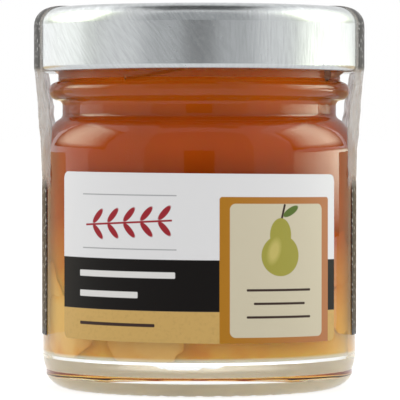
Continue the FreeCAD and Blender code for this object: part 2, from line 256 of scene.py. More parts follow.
def new_group(name, inputs, outputs):
    """Start a shader node group from (name, default) inputs; an output named Color is a colour."""
    tree = bpy.data.node_groups.new(name, "ShaderNodeTree")
    for label, default in inputs:
        plain = not isinstance(default, tuple)
        kind = "NodeSocketFloat" if plain else "NodeSocketColor"
        socket = tree.interface.new_socket(label, in_out="INPUT", socket_type=kind)
        socket.default_value = default if plain else (*default, 1)
    for label in outputs:
        kind = "NodeSocketColor" if label == "Color" else "NodeSocketFloat"
        tree.interface.new_socket(label, in_out="OUTPUT", socket_type=kind)
    graph = Graph(tree)
    return graph, graph.node("NodeGroupInput").outputs, graph.node("NodeGroupOutput").inputs


def once(build):
    """Build a node group the first time it is asked for."""
    def ask():
        found = bpy.data.node_groups.get(build.__name__)
        return found if found is not None else build(build.__name__)
    return ask


@once
def wall_place(name):
    """Where a point lies on the jar: along the wall from the front, up, and off the axis, in mm."""
    graph, given, out = new_group(name, [("Wall Radius", LABEL_RADIUS)], ["Arc", "Height", "Radius"])
    place = graph.node("ShaderNodeTexCoord").outputs["Object"]
    x, y, z = graph.node("ShaderNodeSeparateXYZ", {"Vector": place}).outputs
    turn = graph.math("ARCTAN2", x, graph.math("MULTIPLY", y, -1.0))
    graph.feed(out["Arc"], graph.math("MULTIPLY", turn, given["Wall Radius"]))
    graph.feed(out["Height"], graph.math("DIVIDE", z, MM))
    across = graph.node("ShaderNodeVectorMath", {0: graph.combine(x, y)}, operation="LENGTH")
    graph.feed(out["Radius"], graph.math("DIVIDE", across.outputs["Value"], MM))
    return graph.tree


SHAPE_INPUTS = [
    ("Across", 0), ("Up", 0), ("Centre Across", 0), ("Centre Up", 0),
    ("Half Width", 1), ("Half Height", 1), ("Turn", 0), ("Edge", 0.08),
]


def turned_place(graph, given):
    """The point seen from the shape's own centre and turned with it."""
    dx = graph.math("SUBTRACT", given["Across"], given["Centre Across"])
    dy = graph.math("SUBTRACT", given["Up"], given["Centre Up"])
    cosine = graph.math("COSINE", given["Turn"])
    sine = graph.math("SINE", given["Turn"])
    across = graph.math("MULTIPLY_ADD", dx, cosine, graph.math("MULTIPLY", dy, sine))
    up = graph.math("SUBTRACT", graph.math("MULTIPLY", dy, cosine), graph.math("MULTIPLY", dx, sine))
    return across, up


@once
def printed_box(name):
    """A printed rectangle with round corners."""
    graph, given, out = new_group(name, SHAPE_INPUTS + [("Corner", 0)], ["Mask"])
    across, up = turned_place(graph, given)
    qx, qy = (
        graph.math("ADD", graph.math("SUBTRACT", graph.math("ABSOLUTE", along), half), given["Corner"])
        for along, half in ((across, given["Half Width"]), (up, given["Half Height"])))
    outside = graph.node("ShaderNodeVectorMath", {
        0: graph.combine(graph.math("MAXIMUM", qx, 0.0), graph.math("MAXIMUM", qy, 0.0)),
    }, operation="LENGTH").outputs["Value"]
    inside = graph.math("MINIMUM", graph.math("MAXIMUM", qx, qy), 0.0)
    distance = graph.math("SUBTRACT", graph.math("ADD", outside, inside), given["Corner"])
    edge = graph.math("DIVIDE", distance, given["Edge"])
    graph.feed(out["Mask"], graph.math("SUBTRACT", 0.5, edge, clamp=True))
    return graph.tree


@once
def printed_oval(name):
    """A printed ellipse."""
    graph, given, out = new_group(name, SHAPE_INPUTS, ["Mask"])
    across, up = turned_place(graph, given)
    reach = graph.node("ShaderNodeVectorMath", {
        0: graph.combine(graph.math("DIVIDE", across, given["Half Width"]),
                         graph.math("DIVIDE", up, given["Half Height"])),
    }, operation="LENGTH").outputs["Value"]
    least = graph.math("MINIMUM", given["Half Width"], given["Half Height"])
    distance = graph.math("MULTIPLY", graph.math("SUBTRACT", reach, 1.0), least)
    edge = graph.math("DIVIDE", distance, given["Edge"])
    graph.feed(out["Mask"], graph.math("SUBTRACT", 0.5, edge, clamp=True))
    return graph.tree


@once
def fine_grain(name):
    """A fine unevenness about one, of the given size in mm and amount."""
    graph, given, out = new_group(name, [("Size", 0.3), ("Amount", 0.1)], ["Value"])
    place = graph.node("ShaderNodeTexCoord").outputs["Object"]
    scale = graph.math("DIVIDE", 1 / MM, given["Size"])
    grain = graph.math("SUBTRACT", graph.noise(place, scale, detail=3), 0.5)
    graph.feed(out["Value"], graph.math("MULTIPLY_ADD", grain, given["Amount"], 1.0))
    return graph.tree


@once
def steeped_syrup(name):
    """The syrup's colour: golden among the fruit below, red-brown above and further down at the right."""
    tones = ("Neck", "Deep", "Middle", "Golden", "Foot")
    graph, given, out = new_group(name, [(tone, (1, 1, 1)) for tone in tones], ["Color"])
    place = graph.node("ShaderNodeTexCoord").outputs["Object"]
    height = graph.in_mm(place, "Z")
    drift = graph.math("SUBTRACT", graph.noise(place, 75, detail=2), 0.5)
    level = graph.math("MULTIPLY_ADD", drift, 7.0, height)
    right_side = graph.span(graph.in_mm(place, "X"), 5.0, 18.0, 0.0, 4.5)
    level = graph.math("ADD", level, right_side)
    made = graph.paint(given["Golden"], graph.span(level, *GOLDEN_TO_MIDDLE), given["Middle"])
    made = graph.paint(made, graph.span(level, *MIDDLE_TO_DEEP), given["Deep"])
    # Painted light: the neck, in the lid's shade, is painted lighter than the deep syrup below it.
    made = graph.paint(made, graph.span(height, *DEEP_TO_NECK), given["Neck"])
    mottled = graph.span(graph.noise(place, 330, detail=3), 0.36, 0.60)
    settled = graph.math("MULTIPLY", graph.span(level, *SETTLED_TO_CLEAR, 0.0, 0.7), mottled)
    made = graph.paint(made, settled, given["Middle"])
    # The foot is partly the pale syrup's own colour and partly painted light from the floor below.
    graph.feed(out["Color"], graph.paint(made, graph.span(height, *WALL_TO_FOOT), given["Foot"]))
    return graph.tree


def new_material(name):
    """Start a material and return it with its graph and its output."""
    material = bpy.data.materials.new(name)
    material.use_nodes = True
    material.node_tree.nodes.clear()
    graph = Graph(material.node_tree)
    return material, graph, graph.node("ShaderNodeOutputMaterial")


def principled(graph, **inputs):
    """Add the main shader; an input's name has underscores for its spaces."""
    return graph.node("ShaderNodeBsdfPrincipled", {
        name.replace("_", " "): value for name, value in inputs.items()})


def let_lamps_through(graph, output, shader):
    """Light from lamps and room shines through the surface, and the eye sees the glass."""
    path = graph.node("ShaderNodeLightPath").outputs
    clear = graph.node("ShaderNodeBsdfTransparent", {"Color": (0.97, 0.97, 0.97)})
    for ray in ("Is Diffuse Ray", "Is Shadow Ray"):
        shader = graph.node("ShaderNodeMixShader", {
            0: path[ray], 1: shader.outputs[0], 2: clear.outputs[0],
        })
    graph.feed(output.inputs["Surface"], shader.outputs[0])


def give(obj, material):
    """Put one material on the whole object."""
    obj.data.materials.clear()
    obj.data.materials.append(material)


# ---------------------------------------------------------------------------------------------
# Mesh helpers
# ---------------------------------------------------------------------------------------------
def add_mesh(name, points, faces):
    """Make an object from points in millimetres and faces, shaded smooth."""
    mesh = bpy.data.meshes.new(name)
    mesh.from_pydata([Vector(point) * MM for point in points], [], faces)
    mesh.update()
    for face in mesh.polygons:
        face.use_smooth = True
    obj = bpy.data.objects.new(name, mesh)
    bpy.context.scene.collection.objects.link(obj)
    return obj


def arc_points(centre, radius, start, end, count):
    """Points on an arc in (radius, height), between two angles in degrees."""
    return [
        (centre[0] + radius * math.cos(math.radians(start + (end - start) * step / count)),
         centre[1] + radius * math.sin(math.radians(start + (end - start) * step / count)))
        for step in range(count + 1)
    ]


def straight(start, end, count):
    """Points on a straight line in (radius, height), without its first one."""
    return [
        (start[0] + (end[0] - start[0]) * step / count, start[1] + (end[1] - start[1]) * step / count)
        for step in range(1, count + 1)
    ]


def turned(name, outline, segments):
    """Turn an outline of (radius, height), which starts and ends on the axis, into a closed solid."""
    low, high = outline[0][1], outline[-1][1]
    rings = outline[1:-1]
    points = [(0, 0, low)]
    for radius, height in rings:
        for step in range(segments):
            turn = 2 * math.pi * step / segments
            points.append((radius * math.cos(turn), radius * math.sin(turn), height))
    points.append((0, 0, high))
    faces = []
    for step in range(segments):
        after = (step + 1) % segments
        faces.append((0, 1 + after, 1 + step))
        for ring in range(len(rings) - 1):
            here = 1 + ring * segments
            faces.append((here + step, here + after, here + segments + after, here + segments + step))
        last = 1 + (len(rings) - 1) * segments
        faces.append((last + step, last + after, len(points) - 1))
    return add_mesh(name, points, faces)


# ---------------------------------------------------------------------------------------------
# Glass
# ---------------------------------------------------------------------------------------------
# Heights in mm over which the glass turns matt under the lid, and how matt it gets
FINISH_HEIGHTS = (42.2, 42.8)
FINISH_ROUGHNESS = 0.3


class JAR_OT_glass(bpy.types.Operator):
    """Finish the jar in clear pressed glass with the mould's faint waves"""

    bl_idname = "fruit_jar.glass"
    bl_label = "Glass Jar"

    def execute(self, context):
        settings = context.scene.jar_glass
        material, graph, output = new_material("clear_glass")
        place = graph.node("ShaderNodeTexCoord").outputs["Object"]
        waves = graph.noise(place, 160, detail=1)
        matt = graph.span(graph.in_mm(place, "Z"), *FINISH_HEIGHTS, 0.0, FINISH_ROUGHNESS)
        shader = principled(
            graph, Base_Color=settings.tint, Roughness=matt, IOR=1.5, Transmission_Weight=1.0,
            Specular_Tint=(0.55, 0.55, 0.55), Normal=graph.bump(waves, settings.ripple))
        let_lamps_through(graph, output, shader)
        give(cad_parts["glass_jar"], material)
        return {"FINISHED"}


# ---------------------------------------------------------------------------------------------
# Contents
# ---------------------------------------------------------------------------------------------
# Heights in mm over which the syrup's underside begins to mirror the base, and how much it does
FOOT_HEIGHTS = (4.9, 4.65)
FOOT_MIRROR = 0.6

# How far in mm the flat side of the first piece of pear lies outside the syrup, how much more
# each later one does, and how high the lowest may lie over the floor
PEAR_PROUD = 0.004
PEAR_STEP = 0.003
PEAR_OFF_FLOOR = 0.1


def syrup_outline(reach):
    """Half section of the syrup, a little larger than the space inside the glass."""
    wall = FILL_HIGH.x + reach
    bore = BORE_RADIUS + reach
    floor = FILL_LOW.z - reach
    corner = arc_points((wall - FLOOR_CORNER, floor + FLOOR_CORNER), FLOOR_CORNER, -90, 0, 8)
    width = FILL_HIGH.x - BORE_RADIUS
    rise = SHOULDER_TOP - WALL_TOP
    curve = (width ** 2 + rise ** 2) / (2 * width)
    lean = math.degrees(math.asin(rise / curve))
    shoulder = arc_points((wall - curve, WALL_TOP), curve, 0, lean, 14)
    shoulder_top = (bore, shoulder[-1][1])
    outline = [(0, floor)] + straight((0, floor), (16.0, floor), 4) + corner
    outline += straight(corner[-1], (wall, WALL_TOP), 10)[:-1] + shoulder
    outline += straight(shoulder_top, (bore, FILL_HIGH.z), 6)
    return outline + [(0, FILL_HIGH.z)]


def pear_piece(points, pressed, faces, draw, centre, size, stretch, turn, limits):
    """Add one rounded, uneven piece of pear that presses flat against glass it meets."""
    reach, floor = limits
    ball = bmesh.new()
    bmesh.ops.create_icosphere(ball, subdivisions=5, radius=1)
    offset = Vector([draw.uniform(-50, 50) for _ in range(3)])
    first = len(points)
    for vertex in ball.verts:
        way = vertex.co.normalized()
        blunt = Vector([math.copysign(abs(c) ** 0.86, c) for c in way])
        swell = 1 + 0.34 * noise.noise(way * 1.3 + offset) + 0.10 * noise.noise(way * 3.6 + offset)
        place = Vector([blunt[axis] * stretch[axis] for axis in range(3)]) * size * swell
        place.rotate(turn)
        place += centre
        off_axis = math.hypot(place.x, place.y)
        pressed.append(off_axis - reach)
        if off_axis > reach:
            place.x *= reach / off_axis
            place.y *= reach / off_axis
        place.z = max(place.z, floor)
        points.append(place)
    faces += [tuple(first + vertex.index for vertex in face.verts) for face in ball.faces]
    ball.free()


def add_pears(settings):
    """Heap pieces of pear against the glass in the lower part of the jar."""
    draw = random.Random(7)
    points, pressed, faces = [], [], []
    wall = FILL_HIGH.x + settings.wall_reach / MM + PEAR_PROUD
    floor = FILL_LOW.z + PEAR_OFF_FLOOR
    top = settings.pear_top / MM
    size = settings.pear_size / MM
    for index in range(settings.pear_count):
        layer = (index % 3 + 0.5) / 3
        turn = index * math.radians(137.5) + draw.uniform(-0.25, 0.25)
        height = floor + 2.5 + (top - floor - 5) * layer + draw.uniform(-1.2, 1.2)
        radius = wall - size * draw.uniform(0.42, 0.66)
        centre = Vector((radius * math.cos(turn), radius * math.sin(turn), height))
        stretch = (draw.uniform(0.9, 1.2), draw.uniform(0.75, 1.0), draw.uniform(0.7, 0.9))
        lean = Euler([draw.uniform(-0.7, 0.7), draw.uniform(-0.7, 0.7), draw.uniform(0, 6.3)])
        limits = (wall + PEAR_STEP * index, floor - PEAR_STEP * index)
        pear_piece(points, pressed, faces, draw, centre, size, stretch, lean, limits)
    pears = add_mesh("pear_pieces", points, faces)
    firmness = pears.data.attributes.new("pressed", "FLOAT", "POINT")
    firmness.data.foreach_set("value", pressed)
    return pears


class JAR_OT_filling(bpy.types.Operator):
    """Fill the jar with amber syrup and pieces of candied pear"""

    bl_idname = "fruit_jar.filling"
    bl_label = "Fruit Mustard"

    def execute(self, context):
        settings = context.scene.jar_filling
        syrup = turned("syrup", syrup_outline(settings.wall_reach / MM), 192)
        give(syrup, self.syrup_material(settings))
        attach(syrup, "root")
        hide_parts("fruit_mustard")
        pears = add_pears(settings)
        give(pears, self.pear_material(settings))
        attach(pears, "root")
        return {"FINISHED"}

    def tone(self, graph, settings):
        """The steeped colour, shared by the syrup and the fruit that it soaks."""
        return graph.group(
            steeped_syrup(), neck=settings.neck, deep=settings.deep, middle=settings.middle,
            golden=settings.golden, foot=settings.foot)["Color"]

    def syrup_material(self, settings):
        """Cloudy amber that light sinks into; its underside mirrors the base under it."""
        material, graph, output = new_material("amber_syrup")
        place = graph.node("ShaderNodeTexCoord").outputs["Object"]
        cloud = graph.span(graph.noise(place, 120, detail=3), 0.3, 0.7)
        tone = self.tone(graph, settings)
        tinted = graph.paint(graph.paint(tone, 0.14, (0, 0, 0)), cloud, tone)
        mirrored = graph.span(graph.in_mm(place, "Z"), *FOOT_HEIGHTS, 0.0, FOOT_MIRROR)
        shader = principled(
            graph, Base_Color=tinted, Metallic=mirrored, Roughness=0.5, Specular_IOR_Level=0.0, IOR=1.42,
            Subsurface_Weight=1.0, Subsurface_Scale=settings.bleed, Subsurface_Radius=(1.0, 0.75, 0.5),
            Normal=graph.bump(graph.noise(place, 500, detail=2), 0.00005))
        graph.feed(output.inputs["Surface"], shader.outputs[0])
        return material

    def pear_material(self, settings):
        """Pale flesh where a piece presses on the glass, and the syrup's colour where it sinks away."""
        material, graph, output = new_material("candied_pear")
        place = graph.node("ShaderNodeTexCoord").outputs["Object"]
        grain = graph.group(fine_grain(), size=0.5, amount=0.8)["Value"]
        flesh = graph.paint([0.78 * channel for channel in settings.pear], grain, settings.pear)
        pressed = graph.node("ShaderNodeAttribute", attribute_name="pressed").outputs["Fac"]
        low = graph.span(graph.in_mm(place, "Z"), 22, 11, 0.3, 1.0)
        # The pieces show less pale flesh towards the jar's right side.
        less_pale_to_right = graph.span(graph.in_mm(place, "X"), 8.0, 17.0, 1.0, 0.35)
        firm = graph.math("MULTIPLY", graph.span(pressed, 0.0, 1.8, 0.0, 0.52), low)
        firm = graph.math("MULTIPLY", firm, less_pale_to_right)
        shader = principled(
            graph, Base_Color=graph.paint(self.tone(graph, settings), firm, flesh), Roughness=0.5,
            Specular_IOR_Level=0.0, IOR=1.4, Normal=graph.bump(graph.noise(place, 700, detail=3), 0.0001))
        graph.feed(output.inputs["Surface"], shader.outputs[0])
        return material


# ---------------------------------------------------------------------------------------------
# Lid
# ---------------------------------------------------------------------------------------------
# Where the skirt's scratches give way to the top's by height, and slanted ones to upright ones
# along the skirt, in mm
SKIRT_TO_TOP = (51.0, 52.2)
SLANTED_TO_UPRIGHT = (-4.0, 10.0)


class JAR_OT_lid(bpy.types.Operator):
    """Finish the lid in brushed tinplate with fine scratches"""

    bl_idname = "fruit_jar.lid"
    bl_label = "Tinplate Lid"

    def execute(self, context):
        settings = context.scene.jar_lid
        material, graph, output = new_material("brushed_tinplate")
        place = graph.group(wall_place(), wall_radius=LID_HIGH.x)
        arc, height = place["Arc"], place["Height"]
        slanted = graph.combine(
            graph.math("MULTIPLY_ADD", height, 0.75, arc),
            graph.math("MULTIPLY_ADD", arc, -0.07, graph.math("MULTIPLY", height, 0.07)))
        upright = graph.combine(arc, graph.math("MULTIPLY", height, 0.06))
        side = graph.span(arc, *SLANTED_TO_UPRIGHT)
        left = graph.noise(slanted, 3.2, detail=4, roughness=0.65)
        right = graph.noise(upright, 4.0, detail=4, roughness=0.65)
        skirt = graph.node("ShaderNodeMix", {0: side, 2: left, 3: right}, data_type="FLOAT")
        top = graph.noise(graph.node("ShaderNodeTexCoord").outputs["Object"], 900, detail=3)
        over = graph.span(height, *SKIRT_TO_TOP)
        scratches = graph.node("ShaderNodeMix", {0: over, 2: skirt.outputs[0], 3: top}, data_type="FLOAT")
        grain = graph.group(fine_grain(), size=0.4, amount=0.25)["Value"]
        rough = graph.math("MULTIPLY", grain, settings.roughness)
        dull = [0.88 * channel for channel in settings.metal]
        shine = graph.paint(dull, graph.span(scratches.outputs[0], 0.40, 0.58), settings.metal)
        shader = principled(
            graph, Base_Color=shine, Metallic=1.0, Roughness=rough,
            Normal=graph.bump(scratches.outputs[0], settings.scratch))
        graph.feed(output.inputs["Surface"], shader.outputs[0])
        give(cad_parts["lid"], material)
        return {"FINISHED"}


# ---------------------------------------------------------------------------------------------
# Label
# ---------------------------------------------------------------------------------------------
LABEL_TILT = math.tan(math.radians(0.55))
LABEL_MIDDLE = (LABEL_LOW.z + LABEL_HIGH.z) / 2
PAPER = (0.74, 0.72, 0.68)
PEAR_GREEN = (0.36, 0.33, 0.06)
PEAR_LIGHT = (0.55, 0.47, 0.14)
LEAF_GREEN = (0.10, 0.16, 0.03)
PALE_RULE = (0.74, 0.73, 0.71)
GREY_RULE = (0.35, 0.35, 0.36)

# Places on the label in mm from its middle: across along the wall, and up
PANEL_ACROSS = 11.4
SPRIG_ACROSS = -10.2


class JAR_OT_label(bpy.types.Operator):
    """Print the label: plain fields, a sprig, a pear and ruled lines"""

    bl_idname = "fruit_jar.label"
    bl_label = "Front Label"

    def execute(self, context):
        settings = context.scene.jar_label
        material, graph, output = new_material("printed_paper")
        place = graph.group(wall_place(), wall_radius=LABEL_RADIUS)
        arc = place["Arc"]
        level = graph.math("SUBTRACT", place["Height"], LABEL_MIDDLE)
        up = graph.math("MULTIPLY_ADD", arc, LABEL_TILT, level)

        def lay(below, ink, centre, half, turn=0.0, corner=None, edge=0.08):
            shape = {
                "across": arc, "up": up, "centre_across": centre[0], "centre_up": centre[1],
                "half_width": half[0], "half_height": half[1], "turn": turn, "edge": edge}
            if corner is None:
                mask = graph.group(printed_oval(), **shape)["Mask"]
            else:
                mask = graph.group(printed_box(), corner=corner, **shape)["Mask"]
            return graph.paint(below, mask, ink)

        grain = graph.group(fine_grain(), size=0.45, amount=settings.grain * 6)["Value"]
        sandy = graph.paint([0.72 * channel for channel in settings.gold], grain, settings.gold)
        panel = graph.paint(settings.ochre, graph.span(arc, 3.5, 19.0), settings.sienna)
        print_colour = self.fields(settings, lay, sandy, panel)
        print_colour = self.sprig(settings, lay, print_colour)
        print_colour = self.pear(settings, lay, print_colour)
        print_colour = self.rules(settings, lay, print_colour)
        back = graph.math("LESS_THAN", place["Radius"], LABEL_RADIUS - 0.05)
        print_colour = graph.paint(print_colour, back, PAPER)
        fibre = graph.group(fine_grain(), size=0.12, amount=0.5)["Value"]
        shader = principled(
            graph, Base_Color=print_colour, Roughness=graph.math("MULTIPLY", fibre, 0.42),
            Specular_IOR_Level=0.12, Normal=graph.bump(fibre, 0.000003))
        graph.feed(output.inputs["Surface"], shader.outputs[0])
        give(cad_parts["front_label"], material)
        return {"FINISHED"}

    def fields(self, settings, lay, sandy, panel):
        """White above, a black band, gold below, and an ochre panel with a cream card."""
        made = lay(settings.white, sandy, (0, -12.0), (30, 4.95), corner=0)
        made = lay(made, settings.black, (0, -3.65), (30, 3.43), corner=0)
        made = lay(made, panel, (PANEL_ACROSS, -2.0), (8.7, 10.2), corner=0.4)
        return lay(made, settings.cream, (PANEL_ACROSS, -1.6), (7.3, 8.9), corner=0.8)

    def sprig(self, settings, lay, made):
        """A stem with paired leaves on the white field."""
        slope = 0.06
        spacing = 2.5
        made = lay(made, settings.red, (SPRIG_ACROSS, 4.6), (6.6, 0.13), turn=slope, corner=0.1)
        for pair in range(5):
            across = -14.65 + spacing * pair
            up = 4.35 + slope * spacing * pair
            for side in (1, -1):
                made = lay(made, settings.red, (across, up + 1.05 * side), (1.25, 0.42), turn=0.85 * side)
        return made

    def pear(self, settings, lay, made):
        """A pear with its stalk and one leaf on the cream card."""
        made = lay(made, settings.ink, (PANEL_ACROSS + 0.35, 6.1), (0.16, 1.2), turn=-0.25, corner=0.1)
        made = lay(made, LEAF_GREEN, (PANEL_ACROSS + 1.6, 6.3), (1.35, 0.5), turn=0.5)
        made = lay(made, PEAR_GREEN, (PANEL_ACROSS, 0.4), (2.9, 2.75))
        made = lay(made, PEAR_GREEN, (PANEL_ACROSS, 3.1), (1.65, 2.3))
        return lay(made, PEAR_LIGHT, (PANEL_ACROSS - 1.0, 1.0), (0.8, 1.5), turn=-0.3, edge=0.6)

    def rules(self, settings, lay, made):
        """Plain ruled lines in the band, on the gold and on the card."""
        for across, up, half, thick, ink in (
            (-10.6, -2.3, 7.4, 0.42, PALE_RULE), (-13.2, -5.0, 4.8, 0.42, PALE_RULE),
            (-12.0, -9.0, 6.0, 0.22, settings.ink), (PANEL_ACROSS, -4.2, 5.0, 0.16, settings.ink),
            (PANEL_ACROSS, -6.0, 4.0, 0.16, settings.ink), (PANEL_ACROSS, -7.8, 5.0, 0.16, settings.ink),
            (SPRIG_ACROSS, 8.3, 7.2, 0.07, GREY_RULE), (SPRIG_ACROSS, 1.1, 7.2, 0.07, GREY_RULE),
        ):
            made = lay(made, ink, (across, up), (half, thick), corner=min(0.15, thick))
        return made


# ---------------------------------------------------------------------------------------------
# Seal film
# ---------------------------------------------------------------------------------------------
# The film's shape in mm: its thickness, how far its outer face lies outside the wall, how far
# below the wall's top it starts to leave it, how far it has come away there, how far it keeps
# inside the strip's box, how much rounder its corner is than the lid's, how far down the folds
# reach, how loosely it lies all over, and how far its flat top is let down
FILM_SHEET = 0.08
FILM_OUTSIDE = 0.13
FILM_LEAVES = 3.6
FILM_AWAY = 0.26
FILM_INSET = 0.01
FILM_ROUNDER = 0.14
FOLDS_REACH = 3.0
FILM_SLACK = 0.025
TOP_LET_DOWN = 0.02
ACROSS_STEPS = 28
TOP_STEPS = 30

# Heights in mm where the print fades out above the wall and begins again on the lid, its half
# width below and above, how soft its sides are, and where the bare film starts
WALL_PRINT = (29.6, 27.6)
LID_PRINT = (43.6, 44.3)
PRINT_WIDENS = (33.0, 44.0)
PRINT_HALF = (6.0, 7.1)
PRINT_EDGE = 0.12
BARE_FILM = (27.4, 29.4)
STAIN_BROWN = (0.30, 0.20, 0.12)


def film_path():
    """The outer face up one leg, past the neck and over the lid's corner, in (radius, height)."""
    wall = GLASS_HIGH.x + FILM_OUTSIDE
    outer = FILM_HIGH.x - FILM_INSET
    top = FILM_HIGH.z - FILM_INSET
    corner = LID_CORNER + FILM_ROUNDER
    path = [(wall, FILM_LOW.z)]
    for end, count in (
        ((wall, WALL_TOP - FILM_LEAVES), 24),
        ((wall + FILM_AWAY, WALL_TOP), 6),
        ((outer, CURL_MIDDLE), 24),
        ((outer, LID_HIGH.z - LID_CORNER), 12),
    ):
        path += straight(path[-1], end, count)
    return path[:-1] + arc_points((outer - corner, top - corner), corner, 0, 90, 8)


def add_film(settings):
    """One sheet from the foot of one leg over the lid to the foot of the other."""
    leg = film_path()
    folds_low = WALL_TOP - FOLDS_REACH
    half = FILM_HIGH.y
    columns = []
    for side, path in ((1, leg), (-1, leg[::-1])):
        columns += [(side, radius, height, None) for radius, height in path]
        if side == 1:
            columns += [(0, *leg[-1], 1 - 2 * step / TOP_STEPS) for step in range(1, TOP_STEPS)]
    points = []
    for side, radius, height, across_top in columns:
        free = 0.0
        if across_top is None and folds_low < height < CURL_MIDDLE:
            free = math.sin(math.pi * (height - folds_low) / (CURL_MIDDLE - folds_low))
        for step in range(ACROSS_STEPS + 1):
            y = half * (2 * step / ACROSS_STEPS - 1)
            narrowed = y * (1 - 0.05 * free)
            spot = Vector((side * 7.0 + 1.3, narrowed * 0.55, height * 0.42))
            fold = 0.5 + 0.5 * noise.noise(spot) + 0.25 * noise.noise(spot * 3.1)
            sink = settings.crinkle / MM * free * (fold + 1.2 * (abs(y) / half) ** 4)
            sink += FILM_SLACK * (0.5 + 0.5 * noise.noise(spot * 2.3))
            off = radius - sink
            if across_top is None:
                x = side * math.sqrt(off ** 2 - narrowed ** 2)
            else:
                x = across_top * math.sqrt(radius ** 2 - narrowed ** 2)
            points.append((x, narrowed, height if across_top is None else height - TOP_LET_DOWN))
    faces = []
    row = ACROSS_STEPS + 1
    for number in range(len(columns) - 1):
        for step in range(ACROSS_STEPS):
            here = number * row + step
            faces.append((here, here + 1, here + row + 1, here + row))
    return add_mesh("seal_film", points, faces)


class JAR_OT_film(bpy.types.Operator):
    """Lay the seal film over the lid and down both sides, crinkled over the neck"""

    bl_idname = "fruit_jar.film"
    bl_label = "Seal Film"

    def execute(self, context):
        settings = context.scene.jar_film
        film = add_film(settings)
        thick = film.modifiers.new("thickness", "SOLIDIFY")
        thick.thickness = FILM_SHEET * MM
        thick.offset = -1
        give(film, self.material(settings))
        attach(film, "root")
        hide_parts("seal_strip")
        return {"FINISHED"}

    def material(self, settings):
        """Dark print on the wall and the lid, and clear stained film between them."""
        material, graph, output = new_material("printed_film")
        place = graph.node("ShaderNodeTexCoord").outputs["Object"]
        x, y, z = graph.node("ShaderNodeSeparateXYZ", {"Vector": place}).outputs
        across = graph.math("DIVIDE", y, MM)
        up = graph.math("DIVIDE", z, MM)
        reach = graph.span(up, *PRINT_WIDENS, *PRINT_HALF)
        past = graph.math("SUBTRACT", graph.math("ABSOLUTE", across), reach)
        printed = graph.math("SUBTRACT", 0.5, graph.math("DIVIDE", past, PRINT_EDGE), clamp=True)
        above = graph.span(up, *LID_PRINT)
        below = graph.span(up, *WALL_PRINT)
        printed = graph.math("MULTIPLY", printed, graph.math("MAXIMUM", above, below))
        out = graph.math("ABSOLUTE", graph.math("DIVIDE", x, MM))
        marks = self.marks(graph, across, graph.math("ADD", up, out))
        tone = graph.paint(settings.print_dark, marks, settings.marks)
        streaks = graph.noise(graph.combine(graph.math("MULTIPLY", across, 2.2),
                                            graph.math("MULTIPLY", up, 0.22), x), 1.6, detail=4)
        brown = graph.span(streaks, 0.5, 0.72)
        clear = graph.paint(settings.clear, brown, STAIN_BROWN)
        film_colour = graph.paint(clear, printed, tone)
        veil = graph.span(streaks, 0.35, 0.7, 0.22, 0.64)
        bare = graph.span(up, *BARE_FILM, 0.04, 1.0)
        alpha = graph.math("MAXIMUM", printed, graph.math("MULTIPLY", veil, bare))
        crinkles = graph.noise(graph.combine(across, graph.math("MULTIPLY", up, 0.5), x), 1.5, detail=3)
        shader = principled(
            graph, Base_Color=film_colour, Roughness=graph.span(streaks, 0.3, 0.7, 0.32, 0.5),
            Specular_IOR_Level=0.12, Alpha=alpha, Normal=graph.bump(crinkles, 0.00012))
        graph.feed(output.inputs["Surface"], shader.outputs[0])
        return material

    def marks(self, graph, across, along):
        """Short dashes of uneven length in close rows that run up the film."""
        row = graph.math("DIVIDE", across, 1.05)
        number = graph.math("FLOOR", row)
        in_row = graph.math("ABSOLUTE", graph.math("SUBTRACT", graph.math("SUBTRACT", row, number), 0.5))
        place = graph.math("MULTIPLY_ADD", number, 17.3, graph.math("MULTIPLY", along, 1.7))
        runs = graph.node("ShaderNodeTexNoise", {"W": place, "Scale": 1.0, "Detail": 0.0},
                          noise_dimensions="1D").outputs["Fac"]
        thin = graph.span(in_row, 0.15, 0.09)
        return graph.math("MULTIPLY", thin, graph.span(runs, 0.58, 0.63))


# ---------------------------------------------------------------------------------------------
# Stage
# ---------------------------------------------------------------------------------------------
CAMERA_PLACE = (0.00011, -0.434, 0.03415)
CAMERA_TARGET = (0.00011, 0.0, 0.02592)
CAMERA_LENS = 280.3
FLOOR_REACH = 60000
LAMP_DISTANCE = 0.6
LAMP_HEIGHT = 0.36
LAMP_TALL = 0.8
COOL_CARD = (0.97, 0.99, 1.0)
WARM_GLOW = (0.95, 1.0, 0.80)
AMBER_WING = (1.0, 0.78, 0.50)

# Cards that only reflections show: the room's grey front, the dark camera, the ceiling, two
# amber wings behind the jar's sides and three yellowish glows beside it. The wings and glows
# stand in for light that real syrup would pass on. Each has its azimuth and distance, its height
# and lean, then its half width, its lower and upper edge, its strength and its colour. Angles
# are in degrees and the rest in metres.
CARDS = {
    "front_card": (0, 0.90, 0, 0, 0.75, -0.1, 1.4, 0.55, COOL_CARD),
    "camera_card": (0, 0.50, 0, 0, 0.095, 0.02, 0.10, 0.0, COOL_CARD),
    "ceiling_card": (0, 0, 0.80, 90, 0.28, -0.28, 0.28, 0.10, COOL_CARD),
    "left_wing": (-140, 0.13, 0, 0, 0.082, 0.0, 0.037, 1.05, AMBER_WING),
    "right_wing": (142, 0.13, 0, 0, 0.072, 0.0, 0.037, 0.90, AMBER_WING),
    "right_glow": (103, 0.14, 0, 0, 0.098, 0.017, 0.044, 5.6, WARM_GLOW),
    "left_high_glow": (-102, 0.50, 0, 0, 0.30, 0.10, 0.60, 5.6, WARM_GLOW),
    "right_high_glow": (102, 0.50, 0, 0, 0.30, 0.10, 0.60, 6.6, WARM_GLOW),
}

# How much of a glow's strength is lost at its sides, and the share of its height over which it
# rises from its lower edge. Every glow falls off over one share of it below its upper edge.
GLOW_FADES = {"right_glow": (0.6, 0.5), "left_high_glow": (1.0, 0.15), "right_high_glow": (1.0, 0.15)}
GLOW_FALL = 0.15


def aim(obj, place, target):
    """Put an object at a place and point it at a target."""
    obj.location = place
    obj.rotation_euler = (Vector(target) - Vector(place)).to_track_quat("-Z", "Y").to_euler()


